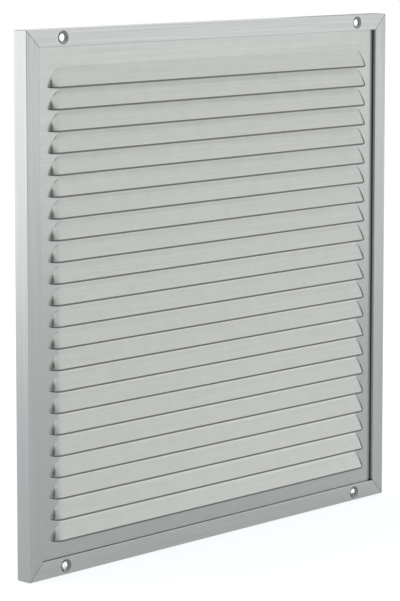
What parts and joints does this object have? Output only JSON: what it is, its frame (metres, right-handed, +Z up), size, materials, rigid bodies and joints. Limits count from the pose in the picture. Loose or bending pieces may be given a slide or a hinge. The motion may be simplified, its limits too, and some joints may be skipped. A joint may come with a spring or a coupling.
{
  "type": "louvred grille",
  "caption": "Square louvred ventilation grille: a pressed louvre sheet in a mitred frame with countersunk screw holes, open at the back.",
  "frame": {"origin": "centre of the four screw holes, on the back face of the frame's flange", "axes": "+X to the right and +Z up as seen from the front; +Y backwards, into the wall"},
  "size_m": [0.4, 0.0158, 0.4],
  "materials": {
    "frame": "satin anodised, fine grain along each length",
    "louvre_sheet": "matt satin anodised sheet",
    "corner_key": "bare mill finish"
  },
  "bodies": {
    "root": {"top_rail": "frame", "bottom_rail": "frame", "left_stile": "frame", "right_stile": "frame", "louvre_panel": "louvre_sheet", "corner_key_top_left": "corner_key", "corner_key_top_right": "corner_key", "corner_key_bottom_left": "corner_key", "corner_key_bottom_right": "corner_key"}
  },
  "joints": []
}
